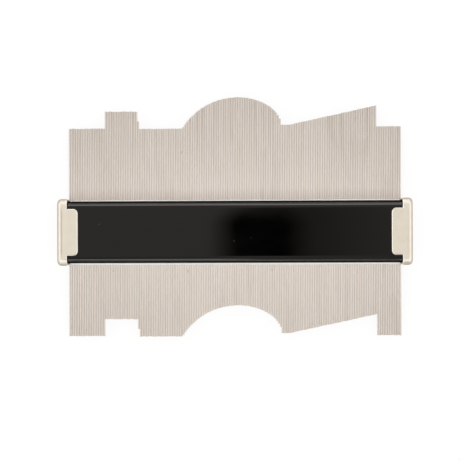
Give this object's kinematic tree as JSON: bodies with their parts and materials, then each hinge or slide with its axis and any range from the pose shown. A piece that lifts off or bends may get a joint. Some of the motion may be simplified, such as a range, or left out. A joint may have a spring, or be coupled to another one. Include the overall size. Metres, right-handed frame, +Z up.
{
  "type": "contour gauge",
  "caption": "Contour gauge: a row of thin steel pins that slide between two black covers closed by pale metal end caps, set to a stepped and domed outline.",
  "frame": {"origin": "middle of the whole gauge in plan, on the plane that it lies on", "axes": "+X along the row of pins to the right, +Y along the pins towards the domed side, +Z up out of the front cover"},
  "size_m": [0.1622, 0.11, 0.0107],
  "materials": {
    "black_enamel": "glossy stoved enamel",
    "cap_nickel": "satin nickel plate",
    "pin_steel": "drawn wire, bright",
    "liner_plastic": "extruded strip, satin",
    "pad_rubber": "matt",
    "spacer_plastic": "moulded, matt"
  },
  "bodies": {
    "gauge_body": {"front_cover": "black_enamel", "back_cover": "black_enamel", "front_liner": "liner_plastic", "back_liner": "liner_plastic", "front_upper_pad": "pad_rubber", "front_lower_pad": "pad_rubber", "back_upper_pad": "pad_rubber", "back_lower_pad": "pad_rubber", "left_spacer": "spacer_plastic", "right_spacer": "spacer_plastic", "left_end_cap": "cap_nickel", "right_end_cap": "cap_nickel"},
    "pin_group_01": {"pin_group_01": "pin_steel"},
    "pin_group_02": {"pin_group_02": "pin_steel"},
    "pin_group_03": {"pin_group_03": "pin_steel"},
    "pin_group_04": {"pin_group_04": "pin_steel"},
    "pin_group_05": {"pin_group_05": "pin_steel"},
    "pin_group_06": {"pin_group_06": "pin_steel"},
    "pin_group_07": {"pin_group_07": "pin_steel"},
    "pin_group_08": {"pin_group_08": "pin_steel"},
    "pin_group_09": {"pin_group_09": "pin_steel"},
    "pin_group_10": {"pin_group_10": "pin_steel"},
    "pin_group_11": {"pin_group_11": "pin_steel"},
    "pin_group_12": {"pin_group_12": "pin_steel"},
    "pin_group_13": {"pin_group_13": "pin_steel"},
    "pin_group_14": {"pin_group_14": "pin_steel"},
    "pin_group_15": {"pin_group_15": "pin_steel"},
    "pin_group_16": {"pin_group_16": "pin_steel"},
    "pin_group_17": {"pin_group_17": "pin_steel"},
    "pin_group_18": {"pin_group_18": "pin_steel"},
    "pin_group_19": {"pin_group_19": "pin_steel"},
    "pin_group_20": {"pin_group_20": "pin_steel"},
    "pin_group_21": {"pin_group_21": "pin_steel"},
    "pin_group_22": {"pin_group_22": "pin_steel"},
    "pin_group_23": {"pin_group_23": "pin_steel"},
    "pin_group_24": {"pin_group_24": "pin_steel"},
    "pin_group_25": {"pin_group_25": "pin_steel"},
    "pin_group_26": {"pin_group_26": "pin_steel"},
    "pin_group_27": {"pin_group_27": "pin_steel"},
    "pin_group_28": {"pin_group_28": "pin_steel"},
    "pin_group_29": {"pin_group_29": "pin_steel"},
    "pin_group_30": {"pin_group_30": "pin_steel"},
    "pin_group_31": {"pin_group_31": "pin_steel"},
    "pin_group_32": {"pin_group_32": "pin_steel"},
    "pin_group_33": {"pin_group_33": "pin_steel"},
    "pin_group_34": {"pin_group_34": "pin_steel"},
    "pin_group_35": {"pin_group_35": "pin_steel"},
    "pin_group_36": {"pin_group_36": "pin_steel"},
    "pin_group_37": {"pin_group_37": "pin_steel"},
    "pin_group_38": {"pin_group_38": "pin_steel"},
    "pin_group_39": {"pin_group_39": "pin_steel"},
    "pin_group_40": {"pin_group_40": "pin_steel"},
    "pin_group_41": {"pin_group_41": "pin_steel"},
    "pin_group_42": {"pin_group_42": "pin_steel"},
    "pin_group_43": {"pin_group_43": "pin_steel"},
    "pin_group_44": {"pin_group_44": "pin_steel"},
    "pin_group_45": {"pin_group_45": "pin_steel"},
    "pin_group_46": {"pin_group_46": "pin_steel"},
    "pin_group_47": {"pin_group_47": "pin_steel"},
    "pin_group_48": {"pin_group_48": "pin_steel"}
  },
  "joints": [
    {"name": "pin_group_01_slide", "type": "slide", "parent": "gauge_body", "child": "pin_group_01", "axis": [0, 1, 0], "range_m": [-0.0323, 0.0323]},
    {"name": "pin_group_02_slide", "type": "slide", "parent": "gauge_body", "child": "pin_group_02", "axis": [0, 1, 0], "range_m": [-0.0323, 0.0324]},
    {"name": "pin_group_03_slide", "type": "slide", "parent": "gauge_body", "child": "pin_group_03", "axis": [0, 1, 0], "range_m": [-0.0323, 0.0323]},
    {"name": "pin_group_04_slide", "type": "slide", "parent": "gauge_body", "child": "pin_group_04", "axis": [0, 1, 0], "range_m": [-0.0324, 0.0324]},
    {"name": "pin_group_05_slide", "type": "slide", "parent": "gauge_body", "child": "pin_group_05", "axis": [0, 1, 0], "range_m": [-0.0323, 0.0323]},
    {"name": "pin_group_06_slide", "type": "slide", "parent": "gauge_body", "child": "pin_group_06", "axis": [0, 1, 0], "range_m": [-0.0323, 0.0246]},
    {"name": "pin_group_07_slide", "type": "slide", "parent": "gauge_body", "child": "pin_group_07", "axis": [0, 1, 0], "range_m": [-0.0401, 0.0245]},
    {"name": "pin_group_08_slide", "type": "slide", "parent": "gauge_body", "child": "pin_group_08", "axis": [0, 1, 0], "range_m": [-0.0401, 0.0246]},
    {"name": "pin_group_09_slide", "type": "slide", "parent": "gauge_body", "child": "pin_group_09", "axis": [0, 1, 0], "range_m": [-0.0401, 0.0245]},
    {"name": "pin_group_10_slide", "type": "slide", "parent": "gauge_body", "child": "pin_group_10", "axis": [0, 1, 0], "range_m": [-0.0401, 0.0245]},
    {"name": "pin_group_11_slide", "type": "slide", "parent": "gauge_body", "child": "pin_group_11", "axis": [0, 1, 0], "range_m": [-0.0321, 0.0292]},
    {"name": "pin_group_12_slide", "type": "slide", "parent": "gauge_body", "child": "pin_group_12", "axis": [0, 1, 0], "range_m": [-0.0321, 0.0325]},
    {"name": "pin_group_13_slide", "type": "slide", "parent": "gauge_body", "child": "pin_group_13", "axis": [0, 1, 0], "range_m": [-0.0321, 0.0326]},
    {"name": "pin_group_14_slide", "type": "slide", "parent": "gauge_body", "child": "pin_group_14", "axis": [0, 1, 0], "range_m": [-0.0321, 0.0326]},
    {"name": "pin_group_15_slide", "type": "slide", "parent": "gauge_body", "child": "pin_group_15", "axis": [0, 1, 0], "range_m": [-0.0321, 0.0326]},
    {"name": "pin_group_16_slide", "type": "slide", "parent": "gauge_body", "child": "pin_group_16", "axis": [0, 1, 0], "range_m": [-0.0321, 0.0325]},
    {"name": "pin_group_17_slide", "type": "slide", "parent": "gauge_body", "child": "pin_group_17", "axis": [0, 1, 0], "range_m": [-0.0322, 0.0307]},
    {"name": "pin_group_18_slide", "type": "slide", "parent": "gauge_body", "child": "pin_group_18", "axis": [0, 1, 0], "range_m": [-0.0352, 0.027]},
    {"name": "pin_group_19_slide", "type": "slide", "parent": "gauge_body", "child": "pin_group_19", "axis": [0, 1, 0], "range_m": [-0.0384, 0.0243]},
    {"name": "pin_group_20_slide", "type": "slide", "parent": "gauge_body", "child": "pin_group_20", "axis": [0, 1, 0], "range_m": [-0.0411, 0.0222]},
    {"name": "pin_group_21_slide", "type": "slide", "parent": "gauge_body", "child": "pin_group_21", "axis": [0, 1, 0], "range_m": [-0.0431, 0.0206]},
    {"name": "pin_group_22_slide", "type": "slide", "parent": "gauge_body", "child": "pin_group_22", "axis": [0, 1, 0], "range_m": [-0.0444, 0.0196]},
    {"name": "pin_group_23_slide", "type": "slide", "parent": "gauge_body", "child": "pin_group_23", "axis": [0, 1, 0], "range_m": [-0.0454, 0.0189]},
    {"name": "pin_group_24_slide", "type": "slide", "parent": "gauge_body", "child": "pin_group_24", "axis": [0, 1, 0], "range_m": [-0.0461, 0.0185]},
    {"name": "pin_group_25_slide", "type": "slide", "parent": "gauge_body", "child": "pin_group_25", "axis": [0, 1, 0], "range_m": [-0.0464, 0.0183]},
    {"name": "pin_group_26_slide", "type": "slide", "parent": "gauge_body", "child": "pin_group_26", "axis": [0, 1, 0], "range_m": [-0.0462, 0.0185]},
    {"name": "pin_group_27_slide", "type": "slide", "parent": "gauge_body", "child": "pin_group_27", "axis": [0, 1, 0], "range_m": [-0.0454, 0.0188]},
    {"name": "pin_group_28_slide", "type": "slide", "parent": "gauge_body", "child": "pin_group_28", "axis": [0, 1, 0], "range_m": [-0.0442, 0.0197]},
    {"name": "pin_group_29_slide", "type": "slide", "parent": "gauge_body", "child": "pin_group_29", "axis": [0, 1, 0], "range_m": [-0.0426, 0.0208]},
    {"name": "pin_group_30_slide", "type": "slide", "parent": "gauge_body", "child": "pin_group_30", "axis": [0, 1, 0], "range_m": [-0.0401, 0.0226]},
    {"name": "pin_group_31_slide", "type": "slide", "parent": "gauge_body", "child": "pin_group_31", "axis": [0, 1, 0], "range_m": [-0.0337, 0.0256]},
    {"name": "pin_group_32_slide", "type": "slide", "parent": "gauge_body", "child": "pin_group_32", "axis": [0, 1, 0], "range_m": [-0.0336, 0.0311]},
    {"name": "pin_group_33_slide", "type": "slide", "parent": "gauge_body", "child": "pin_group_33", "axis": [0, 1, 0], "range_m": [-0.0337, 0.0304]},
    {"name": "pin_group_34_slide", "type": "slide", "parent": "gauge_body", "child": "pin_group_34", "axis": [0, 1, 0], "range_m": [-0.0345, 0.0297]},
    {"name": "pin_group_35_slide", "type": "slide", "parent": "gauge_body", "child": "pin_group_35", "axis": [0, 1, 0], "range_m": [-0.0351, 0.0291]},
    {"name": "pin_group_36_slide", "type": "slide", "parent": "gauge_body", "child": "pin_group_36", "axis": [0, 1, 0], "range_m": [-0.0358, 0.0285]},
    {"name": "pin_group_37_slide", "type": "slide", "parent": "gauge_body", "child": "pin_group_37", "axis": [0, 1, 0], "range_m": [-0.0365, 0.0277]},
    {"name": "pin_group_38_slide", "type": "slide", "parent": "gauge_body", "child": "pin_group_38", "axis": [0, 1, 0], "range_m": [-0.0372, 0.0271]},
    {"name": "pin_group_39_slide", "type": "slide", "parent": "gauge_body", "child": "pin_group_39", "axis": [0, 1, 0], "range_m": [-0.0378, 0.0265]},
    {"name": "pin_group_40_slide", "type": "slide", "parent": "gauge_body", "child": "pin_group_40", "axis": [0, 1, 0], "range_m": [-0.0385, 0.0257]},
    {"name": "pin_group_41_slide", "type": "slide", "parent": "gauge_body", "child": "pin_group_41", "axis": [0, 1, 0], "range_m": [-0.0392, 0.0251]},
    {"name": "pin_group_42_slide", "type": "slide", "parent": "gauge_body", "child": "pin_group_42", "axis": [0, 1, 0], "range_m": [-0.04, 0.0242]},
    {"name": "pin_group_43_slide", "type": "slide", "parent": "gauge_body", "child": "pin_group_43", "axis": [0, 1, 0], "range_m": [-0.0407, 0.0236]},
    {"name": "pin_group_44_slide", "type": "slide", "parent": "gauge_body", "child": "pin_group_44", "axis": [0, 1, 0], "range_m": [-0.0414, 0.0229]},
    {"name": "pin_group_45_slide", "type": "slide", "parent": "gauge_body", "child": "pin_group_45", "axis": [0, 1, 0], "range_m": [-0.0326, 0.0225]},
    {"name": "pin_group_46_slide", "type": "slide", "parent": "gauge_body", "child": "pin_group_46", "axis": [0, 1, 0], "range_m": [-0.0327, 0.0321]},
    {"name": "pin_group_47_slide", "type": "slide", "parent": "gauge_body", "child": "pin_group_47", "axis": [0, 1, 0], "range_m": [-0.0326, 0.032]},
    {"name": "pin_group_48_slide", "type": "slide", "parent": "gauge_body", "child": "pin_group_48", "axis": [0, 1, 0], "range_m": [-0.0326, 0.0321]}
  ]
}
